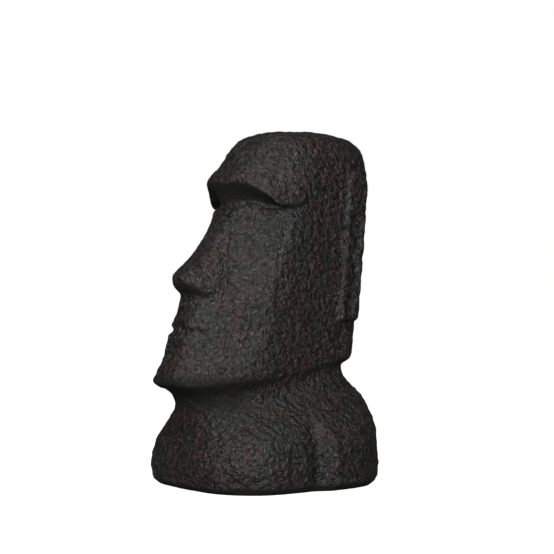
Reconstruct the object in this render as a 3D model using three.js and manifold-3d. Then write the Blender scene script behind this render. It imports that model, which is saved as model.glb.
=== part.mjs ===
// A moai bust: a long stone head with a visor brow, a flared nose and a jutting jaw, on a short neck
// and a flared shoulder base that stands on its flat underside. Millimetres, +Z up, the face looks
// along -Y, and the origin is on the ground under the middle of the statue's whole box. The whole
// statue is one cast piece.
import * as THREE from 'three';
import { mergeVertices } from 'three/addons/utils/BufferGeometryUtils.js';
import Module from 'manifold-3d';

const { smoothstep, clamp, lerp, degToRad } = THREE.MathUtils;

// Driving dimensions
const HEIGHT = 500;
const CROWN_ROUND = 44; // height over which the crown rounds into the sides
const CROWN_CENTRE = 38; // how far back the middle of the crown lies
const HEAD_HALF_WIDTH = 85;
const SOCKET = { edge: 428, floor: 388, depth: 13, bridge: 6, halfWidth: 82, peak: 7 };
const NOSE = { wing: 44, ridge: 16, droop: 5, flare: 1.9 };
const MOUTH = { level: 231, halfWidth: 48, droop: 15, pout: 4, groove: 5 };
const EAR = { top: 443, bottom: 231, front: 68, width: 34, lean: 5.5, proud: 4.5, bevel: 2 };
const LOBE_HOLLOW = { top: 386, bottom: 248, rim: 7, depth: 2.5 }; // below the round of the ear
const ARM = { front: -1, back: 70, top: 118, proud: 12 };

// Mesh density: columns between the key corners of the plan, and rows between named levels
const COLUMN_SPANS = [9, 8, 7, 5, 5];
const ROW_BANDS = [
  // [from level, to level, rows]
  [0, 8, 1],
  [8, 52, 3],
  [52, 112, 5],
  [112, 142, 4],
  [142, 160, 4],
  [160, 184, 4],
  [184, 222, 4],
  [222, 262, 7],
  [262, 302, 7],
  [302, 384, 7],
  [384, 396, 4],
  [396, 430, 7],
  [430, HEIGHT - 2, 8],
];

// A smooth curve through a few [level, value] stations: monotone cubic, level beyond its ends.
function profile(stations) {
  const last = stations.length - 1;
  const slopes = [];
  for (let i = 0; i < last; i++) {
    slopes.push((stations[i + 1][1] - stations[i][1]) / (stations[i + 1][0] - stations[i][0]));
  }
  const tangents = stations.map((_, i) => {
    if (i === 0 || i === last) return 0;
    const below = slopes[i - 1];
    const above = slopes[i];
    return below * above <= 0 ? 0 : (2 * below * above) / (below + above);
  });
  return (h) => {
    if (h <= stations[0][0]) return stations[0][1];
    if (h >= stations[last][0]) return stations[last][1];
    let i = 0;
    while (h > stations[i + 1][0]) i++;
    const [h0, v0] = stations[i];
    const [h1, v1] = stations[i + 1];
    const span = h1 - h0;
    const t = (h - h0) / span;
    const t2 = t * t;
    const t3 = t2 * t;
    const start = v0 * (2 * t3 - 3 * t2 + 1) + tangents[i] * span * (t3 - 2 * t2 + t);
    return start + v1 * (3 * t2 - 2 * t3) + tangents[i + 1] * span * (t3 - t2);
  };
}

// The plan at each level is a polygon with rounded corners. It has a flat front and back, flat
// sides, a cheek face that slants from the front to (side, -cheek), and a slant behind each ear from
// (side, rear) to (nape, back). All are distances from the middle except the cheek face's direction.
const front = profile([
  [0, 139], [7, 151], [35, 151], [60, 148], [85, 145], [105, 142], [125, 139], [135, 136],
  [148, 138], [156, 143], [163, 160], [171, 174], [180, 176], [187, 174], [199, 165], [212, 156],
  [225, 151], [239, 144], [254, 140], [263, 140], [269, 135], [288, 110], [303, 103], [345, 86],
  [388, 74], [410, 78], [424, 83], [429, 83], [436, 77], [456, 61], [480, 47], [HEIGHT, 36],
]);
const cheek = profile([
  [0, 88], [40, 92], [85, 88], [110, 82], [130, 74], [142, 70], [157, 77], [163, 90], [172, 89],
  [190, 70], [207, 61], [222, 55], [262, 51], [301, 39], [342, 25], [363, 15], [386, 9],
  [400, 15], [415, 28], [427, 36], [434, 33], [450, 17], [475, 3], [HEIGHT, -4],
]);
const cheekFacing = profile([
  [0, 45], [90, 47], [130, 57], [184, 59], [225, 57], [262, 53], [303, 48], [342, 45], [388, 44],
  [430, 41], [HEIGHT, 41],
]);
const side = profile([
  [0, 128], [7, 135], [40, 137], [70, 133], [95, 121], [118, 100], [132, 88], [144, 81],
  [154, 81], [164, HEAD_HALF_WIDTH], [430, HEAD_HALF_WIDTH], [480, 79], [HEIGHT, 75],
]);
const rear = profile([
  [0, 84], [6, 95], [40, 96], [90, 86], [120, 72], [134, 78], [150, 84], [160, 92], [170, 96],
  [230, 99], [330, 109], [425, 125], [460, 125], [HEIGHT, 118],
]);
const nape = profile([[0, 84], [90, 74], [142, 54], [160, 56], [230, 62], [HEIGHT, 62]]);
const back = profile([
  [0, 135], [6, 147], [60, 148], [90, 136], [115, 118], [130, 108], [144, 106], [153, 109],
  [161, 114], [172, 116], [230, 119], [330, 127], [425, 144], [460, 144], [HEIGHT, 138],
]);
const sharpness = profile([
  [0, 12], [90, 11], [120, 9], [150, 10], [166, 20], [300, 18], [389, 16], [430, 14], [460, 9],
  [HEIGHT, 6],
]);

// Levels tip up towards the back, most at the shoulders, and sag outwards along the brow and nose.
const tip = profile([
  [0, 0], [60, 0.1], [110, 0.22], [142, 0.24], [163, 0.15], [184, 0.15], [230, 0.07], [330, 0],
  [HEIGHT, 0],
]);
const browSag = profile([
  [350, 0], [380, 3], [392, 8], [401, 16.5], [410, 25], [419, 33.5], [428, 41], [434, 42],
  [462, 35], [HEIGHT, 0],
]);
const noseSag = profile([[240, 0], [272, NOSE.droop], [296, NOSE.droop], [345, 0], [HEIGHT, 0]]);

// Half width of the nose where it meets the cheeks; below it the same columns run beside the mouth.
const noseFoot = profile([
  [0, 60], [142, 50], [184, 44], [236, MOUTH.halfWidth], [268, NOSE.wing], [284, NOSE.wing],
  [303, 38], [345, 34], [388, 34], [430, 40], [HEIGHT, 40],
]);
const noseRidge = profile([
  [266, 129], [274, 138], [281, 147], [288, 151], [296, 150], [304, 140], [313, 128], [320, 118],
  [336, 105], [352, 95], [369, 83], [384, 75], [400, 70],
]);
const noseTop = profile([[268, 14], [290, 12], [312, NOSE.ridge], [345, 18], [386, 24]]);

// The outline of the plan in one direction: the polygon's faces, blended where they meet.
function planRadius(direction, h) {
  const centre = (back(h) - front(h)) / 2;
  const half = (back(h) + front(h)) / 2;
  const across = Math.abs(direction.x);
  const facing = degToRad(cheekFacing(h));
  const napeSlant = new THREE.Vector2(back(h) - rear(h), side(h) - nape(h)).normalize();
  const faces = [
    [-direction.y, half],
    [direction.y, half],
    [across, side(h)],
    [
      across * Math.sin(facing) - direction.y * Math.cos(facing),
      side(h) * Math.sin(facing) + (cheek(h) + centre) * Math.cos(facing),
    ],
    [
      across * napeSlant.x + direction.y * napeSlant.y,
      napeSlant.x * side(h) + napeSlant.y * (rear(h) - centre),
    ],
  ];
  const power = sharpness(h);
  const sum = faces.reduce((total, [cosine, distance]) => {
    return total + Math.pow(Math.max(cosine, 0) / distance, power);
  }, 0);
  return { radius: Math.pow(sum, -1 / power), centre };
}

// How far forward the unrounded face reaches at a distance across it.
function faceReach(across, h) {
  const slanted = cheek(h) + (side(h) - across) * Math.tan(degToRad(cheekFacing(h)));
  return Math.min(front(h), slanted);
}

// Direction of a column: the columns run through the plan's key corners at every level.
function columnAngle(column, h) {
  const centre = (back(h) - front(h)) / 2;
  const corners = [
    0,
    Math.atan2(noseFoot(h), faceReach(noseFoot(h), h) + centre),
    Math.atan2(side(h), cheek(h) + centre),
    Math.atan2(side(h), centre - rear(h)),
    Math.atan2(nape(h), centre - back(h)),
    Math.PI,
  ];
  let span = 0;
  let offset = Math.abs(column);
  while (span < COLUMN_SPANS.length - 1 && offset > COLUMN_SPANS[span]) {
    offset -= COLUMN_SPANS[span];
    span++;
  }
  return Math.sign(column) * lerp(corners[span], corners[span + 1], offset / COLUMN_SPANS[span]);
}

const bump = (t) => (Math.abs(t) < 1 ? Math.cos((t * Math.PI) / 2) ** 2 : 0);

// The eye sockets: one cove under the visor's edge. It is deepest just above the cheeks, whose top is
// a ledge that rises to a peak beside the nose, and it is shallower across the nose bridge.
function socketIn(across, h) {
  const share = clamp(across / SOCKET.halfWidth, 0, 1);
  const depth = lerp(SOCKET.bridge, SOCKET.depth, smoothstep(across, 12, 34));
  const ledge = SOCKET.floor + SOCKET.peak * bump((across - NOSE.wing + 6) / 14);
  const cove = 1 - smoothstep(h, ledge, SOCKET.edge);
  return depth * cove * smoothstep(h, ledge - 3, ledge + 2) * (1 - share ** 4);
}

// How far the nose stands forward of the face behind it.
function noseOut(across, h) {
  const foot = noseFoot(h);
  if (across >= foot) return 0;
  const share = clamp((across - noseTop(h)) / (foot - noseTop(h)), 0, 1);
  const flare = lerp(NOSE.flare, 1, smoothstep(h, 315, 355)); // the wings flare, the bridge is flat
  const reach = lerp(noseRidge(h), faceReach(foot, h), share ** flare);
  const shown = smoothstep(h, 262, 272) * (1 - smoothstep(h, 388, 400));
  return Math.max(0, reach - faceReach(across, h)) * shown;
}

// The lips: a downturned pair of ridges either side of a groove, over a shallow chin hollow.
function lipsOut(across, h) {
  const share = across / MOUTH.halfWidth;
  if (share >= 1) return 0;
  const above = h - (MOUTH.level - MOUTH.droop * share ** 2);
  const upper = MOUTH.pout * bump((above - 9) / 12);
  const lower = MOUTH.pout * bump((above + 9) / 10);
  const groove = MOUTH.groove * bump(above / 6);
  return (upper + lower - groove) * (1 - share ** 6);
}

// The upper arms: low swellings down both sides of the base.
function armOut(y, z) {
  const along = smoothstep(y, ARM.front - 10, ARM.front + 10);
  const fade = 1 - smoothstep(y, ARM.back, ARM.back + 50);
  return ARM.proud * along * fade * (1 - smoothstep(z, ARM.top - 50, ARM.top));
}

// A point of the body, from its column and its level.
function bodyPoint(column, h) {
  const angle = columnAngle(column, h);
  const direction = new THREE.Vector2(Math.sin(angle), -Math.cos(angle));
  const { radius, centre } = planRadius(direction, h);
  const crown = clamp((h - (HEIGHT - CROWN_ROUND)) / CROWN_ROUND, 0, 1);
  const round = Math.pow(1 - crown ** 3.5, 1 / 3.5);
  const x = direction.x * radius * round;
  const across = Math.abs(x);
  const facing = smoothstep(-direction.y, 0.1, 0.5);
  let y = centre + direction.y * radius * round;
  y -= (noseOut(across, h) + lipsOut(across, h) - socketIn(across, h)) * facing;
  const browShare = clamp(across / SOCKET.halfWidth, 0, 1);
  const noseShare = clamp(across / NOSE.wing, 0, 1);
  const forward = 1 - smoothstep(y, -40, 60);
  const sag = (browSag(h) * browShare ** 3.5 + noseSag(h) * noseShare ** 1.5) * forward;
  const z = h + tip(h) * y - sag;
  return new THREE.Vector3(x + Math.sign(x) * armOut(y, z), y, z);
}

// Level heights, from the bottom edge to the crown.
function levels() {
  const heights = [0];
  for (const [from, to, rows] of ROW_BANDS) {
    for (let i = 1; i <= rows; i++) heights.push(lerp(from, to, i / rows));
  }
  return heights;
}

function bodyGeometry() {
  const heights = levels();
  const halfTurn = COLUMN_SPANS.reduce((total, span) => total + span, 0);
  const columns = 2 * halfTurn;
  const rows = heights.length + 1; // the sphere's poles close the underside and the crown
  const geometry = new THREE.SphereGeometry(1, columns, rows);
  const { position, uv } = geometry.attributes;
  for (let i = 0; i < position.count; i++) {
    const row = Math.round(uv.getY(i) * rows);
    const column = (i % (columns + 1)) - halfTurn;
    const point =
      row === 0 ? new THREE.Vector3(0, 0, 0)
      : row === rows ? new THREE.Vector3(0, CROWN_CENTRE, HEIGHT)
      : bodyPoint(column, heights[row - 1]);
    position.setXYZ(i, point.x, point.y, point.z);
  }
  return geometry;
}

// A slab with a round top, in side view: its front edge stands on the vertical through the origin.
function slabOutline(width, bottom, top) {
  const radius = width / 2;
  const shape = new THREE.Shape();
  shape.moveTo(0, bottom);
  shape.lineTo(width - 6, bottom);
  shape.lineTo(width, bottom + 8);
  shape.lineTo(width, top - radius);
  shape.absarc(radius, top - radius, radius, 0, Math.PI, false);
  shape.closePath();
  return shape;
}

// Extrudes a side-view outline towards +X, from one distance across the head to another.
function extrudeSideways(outline, from, to, bevel, forward) {
  const geometry = new THREE.ExtrudeGeometry(outline, {
    depth: to - from - bevel,
    bevelEnabled: bevel > 0,
    bevelThickness: bevel,
    bevelSize: bevel,
    bevelOffset: -bevel,
    bevelSegments: 2,
    curveSegments: 10,
  });
  const sideView = new THREE.Matrix4().makeBasis(
    new THREE.Vector3(0, 1, 0),
    new THREE.Vector3(0, 0, 1),
    new THREE.Vector3(1, 0, 0),
  );
  geometry.applyMatrix4(sideView);
  geometry.translate(from, forward, -EAR.bottom);
  geometry.rotateX(degToRad(-EAR.lean));
  geometry.translate(0, EAR.front, EAR.bottom);
  return toSolid(geometry);
}

// A long ear: a leaning slab with a round top, hollowed down the lobe so that a rim stands round it.
function ear() {
  const face = HEAD_HALF_WIDTH + EAR.proud;
  const outline = slabOutline(EAR.width, EAR.bottom, EAR.top);
  const hollow = slabOutline(EAR.width - 2 * LOBE_HOLLOW.rim, LOBE_HOLLOW.bottom, LOBE_HOLLOW.top);
  const slab = extrudeSideways(outline, face - 30, face, EAR.bevel, 0);
  const cut = extrudeSideways(hollow, face - LOBE_HOLLOW.depth, face + 10, 0, LOBE_HOLLOW.rim);
  return slab.subtract(cut);
}

const wasm = await Module();
wasm.setup();

function toSolid(geometry) {
  const bare = new THREE.BufferGeometry();
  bare.setAttribute('position', geometry.getAttribute('position'));
  bare.setIndex(geometry.index);
  const merged = mergeVertices(bare, 1e-3);
  return new wasm.Manifold(
    new wasm.Mesh({
      numProp: 3,
      vertProperties: merged.attributes.position.array,
      triVerts: new Uint32Array(merged.index.array),
    }),
  );
}

function toGeometry(solid) {
  const mesh = solid.getMesh();
  const geometry = new THREE.BufferGeometry();
  geometry.setAttribute('position', new THREE.BufferAttribute(mesh.vertProperties, 3));
  geometry.setIndex(new THREE.BufferAttribute(mesh.triVerts, 1));
  geometry.computeVertexNormals();
  return geometry;
}

const stone = new THREE.MeshStandardMaterial({ color: 0x3a3735, roughness: 0.85, metalness: 0 });
const nearEar = ear();
const carving = toGeometry(toSolid(bodyGeometry()).add(nearEar).add(nearEar.mirror([1, 0, 0])));
carving.computeBoundingBox();
const { min, max } = carving.boundingBox;
carving.translate(0, -(min.y + max.y) / 2, 0); // the chin reaches further forward than the back does
const statue = new THREE.Mesh(carving, stone);
statue.name = 'moai_statue';

const group = new THREE.Group();
group.add(statue);
export default group;
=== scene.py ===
"""A moai bust in dark cast stone: its hand-worked surface, its painted finish and its studio."""

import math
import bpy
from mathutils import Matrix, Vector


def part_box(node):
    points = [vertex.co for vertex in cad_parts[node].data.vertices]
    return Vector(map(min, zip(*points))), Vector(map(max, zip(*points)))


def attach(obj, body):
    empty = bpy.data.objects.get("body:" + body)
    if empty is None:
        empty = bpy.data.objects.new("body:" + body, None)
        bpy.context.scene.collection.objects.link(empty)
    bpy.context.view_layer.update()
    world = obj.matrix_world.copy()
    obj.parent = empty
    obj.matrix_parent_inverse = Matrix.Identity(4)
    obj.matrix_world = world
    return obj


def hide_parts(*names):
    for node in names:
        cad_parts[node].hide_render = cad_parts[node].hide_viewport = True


bl_info = {
    "name": "Moai Statue",
    "version": (1, 0, 0),
    "blender": (4, 5, 0),
    "location": "3D View > Sidebar > Moai",
    "description": "Carves the worked surface of a cast moai bust and sets up its studio",
    "category": "Add Mesh",
}

import bmesh
import bpy
from bpy.props import FloatProperty, FloatVectorProperty, IntProperty
from mathutils import Vector, noise

NODE = "moai_statue"

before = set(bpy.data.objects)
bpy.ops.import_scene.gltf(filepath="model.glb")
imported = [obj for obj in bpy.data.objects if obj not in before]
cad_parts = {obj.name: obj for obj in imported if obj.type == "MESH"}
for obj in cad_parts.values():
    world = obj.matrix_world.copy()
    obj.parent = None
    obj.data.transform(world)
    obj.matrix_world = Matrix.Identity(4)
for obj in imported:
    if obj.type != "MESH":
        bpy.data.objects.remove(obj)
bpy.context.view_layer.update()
BASE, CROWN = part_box(NODE)
HEIGHT = CROWN.z - BASE.z
CENTRE = (BASE + CROWN) / 2


# ---------------------------------------------------------------- settings


class CarvingSettings(bpy.types.PropertyGroup):
    """The sizes of the hand-worked surface."""

    mesh_size: FloatProperty(
        name="Mesh size",
        description="Spacing of the carved surface's vertices",
        default=0.0026,
        unit="LENGTH",
    )
    smoothing: IntProperty(
        name="Smoothing",
        description="Passes that round the solid's facets off before carving",
        default=5,
        min=0,
    )
    sway_size: FloatProperty(
        name="Sway size",
        description="Width of the slow unevenness left by hand modelling",
        default=0.040,
        unit="LENGTH",
    )
    sway_depth: FloatProperty(
        name="Sway depth",
        description="Depth of the slow unevenness",
        default=0.0011,
        unit="LENGTH",
    )
    lump_size: FloatProperty(
        name="Lump size",
        description="Width of the hammered lumps",
        default=0.0105,
        unit="LENGTH",
    )
    lump_depth: FloatProperty(
        name="Lump depth",
        description="Height of the lumps where the surface is roughest",
        default=0.0021,
        unit="LENGTH",
    )
    grain_size: FloatProperty(
        name="Grain size",
        description="Width of the pitted grain on the lumps",
        default=0.0060,
        unit="LENGTH",
    )
    grain_depth: FloatProperty(
        name="Grain depth",
        description="Depth of the pitted grain",
        default=0.0011,
        unit="LENGTH",
    )


class FinishSettings(bpy.types.PropertyGroup):
    """The colours of the painted finish."""

    charcoal: FloatVectorProperty(
        name="Charcoal",
        description="Main colour of the finish",
        default=(0.039, 0.033, 0.032),
        subtype="COLOR",
        min=0,
        max=1,
    )
    umber: FloatVectorProperty(
        name="Umber",
        description="Warm patches rubbed into the finish",
        default=(0.050, 0.027, 0.023),
        subtype="COLOR",
        min=0,
        max=1,
    )
    slate: FloatVectorProperty(
        name="Slate",
        description="Cool patches rubbed into the finish",
        default=(0.027, 0.030, 0.028),
        subtype="COLOR",
        min=0,
        max=1,
    )
    # The pit colour is also the colour of the painted shade under the brow, nose, jaw and chin.
    pit_and_painted_shade: FloatVectorProperty(
        name="Pit",
        description="Dark colour left in the pits",
        default=(0.009, 0.008, 0.007),
        subtype="COLOR",
        min=0,
        max=1,
    )
    dust: FloatVectorProperty(
        name="Dust",
        description="Dry-brushed highlights on the grain",
        default=(0.160, 0.148, 0.128),
        subtype="COLOR",
        min=0,
        max=1,
    )
    roughness: FloatProperty(
        name="Roughness",
        description="Roughness of the painted surface",
        default=0.44,
        min=0,
        max=1,
    )


class StudioSettings(bpy.types.PropertyGroup):
    """The camera, the lights and the floor."""

    azimuth: FloatProperty(
        name="Azimuth",
        description="Direction of the camera, turned from the front towards the statue's left",
        default=math.radians(52),
        subtype="ANGLE",
    )
    distance: FloatProperty(
        name="Distance",
        description="Distance from the statue's axis to the camera",
        default=2.1,
        unit="LENGTH",
    )
    eye_level: FloatProperty(
        name="Eye level",
        description="Height of the camera",
        default=0.2914,
        unit="LENGTH",
    )
    lens: FloatProperty(
        name="Lens",
        description="Focal length in millimetres",
        default=95.39,
    )
    light_power: FloatProperty(
        name="Light power",
        description="Power of a soft light whose share is 1, in watts",
        default=10,
    )
    sky: FloatProperty(
        name="Sky",
        description="Strength of the even light from all round",
        default=0.06,
    )
    floor_size: FloatProperty(
        name="Floor",
        description="Side of the floor",
        default=60,
        unit="LENGTH",
    )


# ---------------------------------------------------------------- carving


MERGE_DISTANCE = 1e-6
SOFTENING = 0.5  # how far one smoothing pass moves a vertex towards its neighbours
LUMP_STRETCH = 0.8  # below 1, a lump is taller than it is wide
LUMP_LEVEL = 0.45  # share of a lump's width at which it neither rises nor sinks
EVEN_ROUGHNESS = 0.42  # roughness of the cheeks and the front

# Where each region begins and where it is full. SIDE_TURN is the sideways part of the surface's normal,
# CHIN_FRONT is metres in front of the origin, and the others are shares of the height.
SIDE_TURN = (0.70, 0.84)
CHIN_FRONT = (0.095, 0.125)
CHIN_BOTTOM = (0.27, 0.33)
CHIN_TOP = (0.46, 0.50)
NECK_TOP = (0.26, 0.34)
CROWN_EDGE = (0.84, 0.92)
NECK_SHARE = 0.8
CROWN_SHARE = 0.75

# The same for the places given painted shade. UNDER_TURN is the downward part of the normal, the others are
# metres.
UNDER_TURN = (0.10, 0.45)
THROAT_FRONT = (0.045, 0.085)
THROAT_BOTTOM = (0.095, 0.120)
THROAT_TOP = (0.150, 0.165)
THROAT_SHARE = 0.7

GROUND_FADE = (0.001, 0.012)  # the carving fades out towards the underside, which stays flat

# The fine carving on the left side, in metres; the right side mirrors it.
FOLDS = {
    "neck, down and forwards from the jaw": {
        "depth": 0.0060,
        "width": 0.009,
        "start": (0.088, -0.030, 0.146),
        "end": (0.082, -0.090, 0.105),
    },
    "curl in the round top of the ear": {
        "depth": 0.0022,
        "width": 0.006,
        "start": (0.090, 0.117, 0.396),
        "end": (0.090, 0.128, 0.383),
    },
    "recess in front of the upper arm": {
        "depth": 0.0045,
        "width": 0.016,
        "start": (0.134, 0.001, 0.0),
        "end": (0.128, 0.001, 0.085),
    },
}


def smoothstep(value, low, high):
    """Rises from 0 at low to 1 at high."""
    share = min(max((value - low) / (high - low), 0.0), 1.0)
    return share * share * (3 - 2 * share)


def new_mesh_piece(name, mesh):
    piece = bpy.data.objects.new(name, mesh)
    bpy.context.scene.collection.objects.link(piece)
    return piece


def apply_modifiers(piece):
    """Makes the shape that the modifiers give the piece's own mesh."""
    shaped = bpy.data.meshes.new_from_object(piece.evaluated_get(bpy.context.evaluated_depsgraph_get()))
    piece.modifiers.clear()
    piece.data = shaped


def even_copy(node, carving):
    """A copy of the solid with its doubles merged, made of even small faces and with its facets smoothed."""
    merged = bmesh.new()
    merged.from_mesh(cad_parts[node].data)
    bmesh.ops.remove_doubles(merged, verts=merged.verts, dist=MERGE_DISTANCE)
    mesh = bpy.data.meshes.new(node + "_carved")
    merged.to_mesh(mesh)
    merged.free()
    piece = new_mesh_piece(node + "_carved", mesh)
    remesh = piece.modifiers.new("Even", "REMESH")
    remesh.mode = "VOXEL"
    remesh.voxel_size = carving.mesh_size
    smooth = piece.modifiers.new("Soften", "SMOOTH")
    smooth.factor = SOFTENING
    smooth.iterations = carving.smoothing
    apply_modifiers(piece)
    return piece


def sway(point, carving):
    """The slow unevenness of a surface modelled by hand."""
    return carving.sway_depth * noise.fractal(point / carving.sway_size, 1.0, 2.0, 2)


def lumps(point, carving):
    """Rounded lumps with creases between them, stretched a little upwards."""
    stretched = Vector((point.x, point.y, point.z * LUMP_STRETCH))
    near = noise.voronoi(stretched / carving.lump_size)[0]
    return carving.lump_depth * (LUMP_LEVEL - near[0])


def grain(point, carving):
    """The finer pitting on the lumps."""
    return carving.grain_depth * noise.noise(point / carving.grain_size)


def roughness_at(point, normal):
    """How coarsely the surface is worked: the cheeks are smoothest, the sides, chin and neck coarsest."""
    height = point.z / HEIGHT
    sides = smoothstep(abs(normal.x), *SIDE_TURN)
    chin = smoothstep(-point.y, *CHIN_FRONT) * smoothstep(height, *CHIN_BOTTOM)
    chin *= 1 - smoothstep(height, *CHIN_TOP)
    neck = 1 - smoothstep(height, *NECK_TOP)
    crown = smoothstep(height, *CROWN_EDGE)
    coarsest = max(sides, chin, NECK_SHARE * neck, CROWN_SHARE * crown)
    return EVEN_ROUGHNESS + (1 - EVEN_ROUGHNESS) * coarsest


def crease(point, start, end, width):
    """1 on the line from start to end, falling to 0 at width beside it."""
    along = end - start
    share = min(max((point - start).dot(along) / along.length_squared, 0.0), 1.0)
    gap = (point - start - along * share).length
    return 1 - smoothstep(gap, 0.0, width)


def mirrored(point):
    """The point on the statue's left side that matches this one: the carving is the same on both."""
    return Vector((abs(point.x), point.y, point.z))


def folds(point):
    """How deep the fine carving is cut here."""
    left = mirrored(point)
    return sum(
        fold["depth"] * crease(left, Vector(fold["start"]), Vector(fold["end"]), fold["width"])
        for fold in FOLDS.values()
    )


def painted_shade(point, normal):
    """Painted shade: how far the colour is darkened towards the pit colour where the surface faces down,
    under the brow, nose and jaw, and on the throat under the chin.
    """
    underneath = smoothstep(-normal.z, *UNDER_TURN)
    throat = smoothstep(-point.y, *THROAT_FRONT) * smoothstep(point.z, *THROAT_BOTTOM)
    throat *= 1 - smoothstep(point.z, *THROAT_TOP)
    return max(underneath, THROAT_SHARE * throat)


def carve(piece, carving):
    """Moves the surface in and out by the worked texture and the fine carving."""
    work = bmesh.new()
    work.from_mesh(piece.data)
    work.normal_update()
    painted_shade_mask = work.verts.layers.float.new("painted_shade")
    moves = []
    for vert in work.verts:
        point = vert.co
        # Painted shade: stores how far this point is darkened in the material, where it faces down and on
        # the throat.
        vert[painted_shade_mask] = painted_shade(point, vert.normal)
        clear_of_ground = smoothstep(point.z, *GROUND_FADE)
        rough = roughness_at(point, vert.normal)
        depth = sway(point, carving) + rough * (lumps(point, carving) + grain(point, carving))
        depth -= folds(point)
        moves.append(vert.normal * depth * clear_of_ground)
    for vert, move in zip(work.verts, moves):
        vert.co += move
    for face in work.faces:
        face.smooth = True
    work.to_mesh(piece.data)
    work.free()


# ---------------------------------------------------------------- finish


# A noise's scale, and the values between which its patches go from none to full.
WARM_PATCHES = (16, 0.42, 0.56)
COOL_PATCHES = (20, 0.50, 0.60)
CLEAR_OF_PITS = (170, 0.43, 0.56)
DUST_SPECKS = (330, 0.64, 0.74)
PATCH_ROUGHNESS = 0.55
PATTERN_SHIFT = (0.31, 0.17, 0.23)  # moves one noise away from another, so that they don't line up

COARSE_RELIEF = {"scale": 130, "detail": 3.0, "distance": 0.0052}
FINE_RELIEF = {"scale": 300, "detail": 2.0, "distance": 0.0022}
# Roughness where the painted shade is full.
PAINTED_SHADE_ROUGHNESS = 0.95


def add_node(material, kind, inputs=None, **settings):
    """Adds a shader node, with values or links for its inputs."""
    tree = material.node_tree
    node = tree.nodes.new(kind)
    for name, value in settings.items():
        setattr(node, name, value)
    for name, value in (inputs or {}).items():
        if isinstance(value, bpy.types.NodeSocket):
            tree.links.new(value, node.inputs[name])
        else:
            node.inputs[name].default_value = value
    return node


def noise_between(material, place, scale, low, high, detail=3.0):
    """A noise that is 0 below low and 1 above high."""
    spots = add_node(
        material,
        "ShaderNodeTexNoise",
        {"Vector": place, "Scale": scale, "Detail": detail, "Roughness": PATCH_ROUGHNESS},
    )
    spread = add_node(
        material,
        "ShaderNodeMapRange",
        {"Value": spots.outputs["Fac"], "From Min": low, "From Max": high},
    )
    return spread.outputs["Result"]


def mix_colours(material, share, first, second):
    mixed = add_node(
        material,
        "ShaderNodeMix",
        {"Factor": share, 6: first, 7: second},
        data_type="RGBA",
    )
    return mixed.outputs[2]


def relief(material, place, scale, detail, distance, **onto):
    """The normal of a surface with a noise raised on it; a Normal that is given is kept beneath."""
    height = add_node(material, "ShaderNodeTexNoise", {"Vector": place, "Scale": scale, "Detail": detail})
    raised = add_node(
        material,
        "ShaderNodeBump",
        {"Height": height.outputs["Fac"], "Strength": 1.0, "Distance": distance, **onto},
    )
    return raised.outputs["Normal"]


def stone_material(finish):
    """Charcoal stone paint with warm and cool patches, dark pits, dry-brushed specks, and painted shade
    under the brow, nose, jaw and chin.
    """
    material = bpy.data.materials.new("charcoal_cast_stone")
    material.use_nodes = True
    shader = material.node_tree.nodes["Principled BSDF"]
    place = add_node(material, "ShaderNodeTexCoord").outputs["Object"]
    shift = add_node(material, "ShaderNodeMapping", {"Vector": place, "Location": PATTERN_SHIFT})
    elsewhere = shift.outputs["Vector"]

    warm = noise_between(material, place, *WARM_PATCHES)
    cool = noise_between(material, elsewhere, *COOL_PATCHES)
    colour = mix_colours(material, warm, (*finish.charcoal, 1), (*finish.umber, 1))
    colour = mix_colours(material, cool, colour, (*finish.slate, 1))
    clear = noise_between(material, elsewhere, *CLEAR_OF_PITS)
    colour = mix_colours(material, clear, (*finish.pit_and_painted_shade, 1), colour)
    specks = noise_between(material, place, *DUST_SPECKS, detail=1.0)
    colour = mix_colours(material, specks, colour, (*finish.dust, 1))
    # Painted shade: the colour goes to the pit colour where the surface faces down and on the throat, and
    # the roughness rises there.
    painted_shade_mask = add_node(material, "ShaderNodeAttribute", attribute_name="painted_shade").outputs["Fac"]
    colour = mix_colours(material, painted_shade_mask, colour, (*finish.pit_and_painted_shade, 1))
    material.node_tree.links.new(colour, shader.inputs["Base Color"])
    roughness = add_node(
        material,
        "ShaderNodeMapRange",
        {"Value": painted_shade_mask, "To Min": finish.roughness, "To Max": PAINTED_SHADE_ROUGHNESS},
    )
    material.node_tree.links.new(roughness.outputs["Result"], shader.inputs["Roughness"])

    normal = relief(material, place, **COARSE_RELIEF)
    normal = relief(material, elsewhere, **FINE_RELIEF, Normal=normal)
    material.node_tree.links.new(normal, shader.inputs["Normal"])
    return material


class MOAI_OT_statue(bpy.types.Operator):
    """Make the statue: the solid's form with its worked surface and its finish"""

    bl_idname = "moai.statue"
    bl_label = "Carve statue"

    def execute(self, context):
        carving = context.scene.moai_carving
        piece = even_copy(NODE, carving)
        carve(piece, carving)
        piece.data.materials.clear()
        piece.data.materials.append(stone_material(context.scene.moai_finish))
        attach(piece, "root")
        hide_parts(NODE)
        return {"FINISHED"}


# ---------------------------------------------------------------- studio


LIGHTS = [
    # [name, azimuth and elevation in degrees, width, share of the light power]
    ["key", 49, 20, 0.9, 2.1],
    ["side", 58, -4, 0.9, 1.1],
    ["front", 12, 36, 0.9, 0.6],
    ["top", 58, 72, 0.9, 0.8],
    ["back", 232, 6, 1.6, 0.25],
]
LIGHT_DISTANCE = 2.2
SENSOR_WIDTH = 36  # millimetres
AIM_X, AIM_Y = 0.0111, 0.0282  # where the camera looks, on the ground plan
FLOOR_REFLECTS = 0.25  # what the floor gives back to the statue
FLOOR_SHOWS = 0.5  # what it reflects to the camera, on top of its own glow


def direction(azimuth, elevation):
    """Unit vector from the statue; azimuth 0 is in front of the face, and 90 degrees is its left side."""
    level = math.cos(elevation)
    return Vector((math.sin(azimuth) * level, -math.cos(azimuth) * level, math.sin(elevation)))


def aim(thing, place, target):
    thing.location = place
    thing.rotation_euler = (target - place).to_track_quat("-Z", "Y").to_euler()


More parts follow.
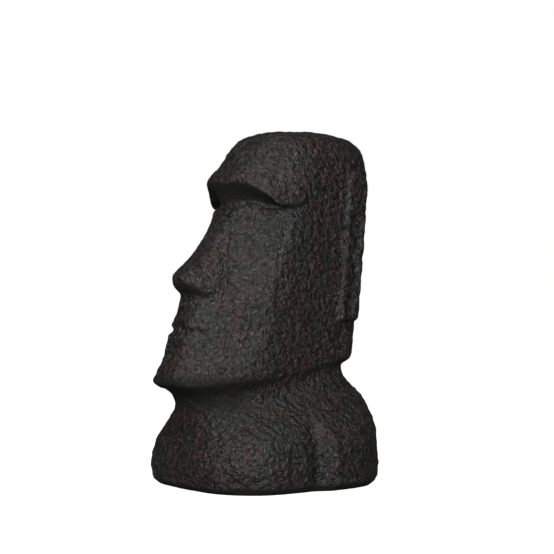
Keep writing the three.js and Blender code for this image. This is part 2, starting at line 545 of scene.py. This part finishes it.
def soft_light(name, azimuth, elevation, width, power, target):
    lamp = bpy.data.lights.new(name, "AREA")
    lamp.shape = "DISK"
    lamp.size = width
    lamp.energy = power
    light = bpy.data.objects.new(name, lamp)
    bpy.context.scene.collection.objects.link(light)
    aim(light, target + direction(math.radians(azimuth), math.radians(elevation)) * LIGHT_DISTANCE, target)


def studio_camera(studio):
    camera = bpy.data.objects.new("camera", bpy.data.cameras.new("camera"))
    bpy.context.scene.collection.objects.link(camera)
    camera.data.lens = studio.lens
    camera.data.sensor_width = SENSOR_WIDTH
    target = Vector((AIM_X, AIM_Y, studio.eye_level))
    aim(camera, target + direction(studio.azimuth, 0) * studio.distance, target)
    bpy.context.scene.camera = camera


def pale_floor(size):
    made = bmesh.new()
    bmesh.ops.create_grid(made, x_segments=1, y_segments=1, size=size / 2)
    mesh = bpy.data.meshes.new("floor")
    made.to_mesh(mesh)
    made.free()
    floor = new_mesh_piece("floor", mesh)
    floor.data.materials.append(floor_material())


def grey(level):
    return (level, level, level, 1)


def floor_material():
    """Pale to look at, and dim as a reflector, so that the statue keeps its dark underside."""
    material = bpy.data.materials.new("pale_floor")
    material.use_nodes = True
    tree = material.node_tree
    tree.nodes.remove(tree.nodes["Principled BSDF"])
    dull = add_node(material, "ShaderNodeBsdfDiffuse", {"Color": grey(FLOOR_REFLECTS)})
    pale = add_node(material, "ShaderNodeBsdfDiffuse", {"Color": grey(FLOOR_SHOWS)})
    glow = add_node(material, "ShaderNodeEmission", {"Color": grey(1), "Strength": 1.0})
    bright = add_node(material, "ShaderNodeAddShader", {0: pale.outputs[0], 1: glow.outputs[0]})
    seen = add_node(material, "ShaderNodeLightPath").outputs["Is Camera Ray"]
    both = add_node(material, "ShaderNodeMixShader", {0: seen, 1: dull.outputs[0], 2: bright.outputs[0]})
    tree.links.new(both.outputs[0], tree.nodes["Material Output"].inputs["Surface"])
    return material


def pale_world(strength):
    """A white backdrop that lights the statue only a little."""
    world = bpy.data.worlds.new("studio")
    world.use_nodes = True
    backdrop = world.node_tree.nodes["Background"]
    backdrop.inputs["Color"].default_value = grey(1)
    seen = add_node(world, "ShaderNodeLightPath").outputs["Is Camera Ray"]
    level = add_node(world, "ShaderNodeMapRange", {"Value": seen, "To Min": strength, "To Max": 1.0})
    world.node_tree.links.new(level.outputs["Result"], backdrop.inputs["Strength"])
    bpy.context.scene.world = world


class MOAI_OT_studio(bpy.types.Operator):
    """Set up the floor, the soft lights and the camera"""

    bl_idname = "moai.studio"
    bl_label = "Set up studio"

    def execute(self, context):
        studio = context.scene.moai_studio
        pale_floor(studio.floor_size)
        pale_world(studio.sky)
        for name, azimuth, elevation, width, share in LIGHTS:
            soft_light(name, azimuth, elevation, width, studio.light_power * share, CENTRE)
        studio_camera(studio)
        context.scene.view_settings.view_transform = "Standard"
        return {"FINISHED"}


# ---------------------------------------------------------------- add-on


class MOAI_PT_panel(bpy.types.Panel):
    bl_idname = "MOAI_PT_panel"
    bl_label = "Moai"
    bl_space_type = "VIEW_3D"
    bl_region_type = "UI"
    bl_category = "Moai"

    def draw(self, context):
        scene = context.scene
        groups = [
            (MOAI_OT_statue.bl_idname, [scene.moai_carving, scene.moai_finish]),
            (MOAI_OT_studio.bl_idname, [scene.moai_studio]),
        ]
        for operator, settings in groups:
            column = self.layout.column()
            column.operator(operator)
            for group in settings:
                for name in group.__annotations__:
                    column.prop(group, name)


CLASSES = [
    CarvingSettings,
    FinishSettings,
    StudioSettings,
    MOAI_OT_statue,
    MOAI_OT_studio,
    MOAI_PT_panel,
]


def register():
    for cls in CLASSES:
        bpy.utils.register_class(cls)
    scene = bpy.types.Scene
    scene.moai_carving = bpy.props.PointerProperty(type=CarvingSettings)
    scene.moai_finish = bpy.props.PointerProperty(type=FinishSettings)
    scene.moai_studio = bpy.props.PointerProperty(type=StudioSettings)


def unregister():
    scene = bpy.types.Scene
    del scene.moai_studio
    del scene.moai_finish
    del scene.moai_carving
    for cls in reversed(CLASSES):
        bpy.utils.unregister_class(cls)


def main():
    register()
    bpy.ops.moai.studio()
    bpy.ops.moai.statue()


if __name__ == "__main__":
    main()
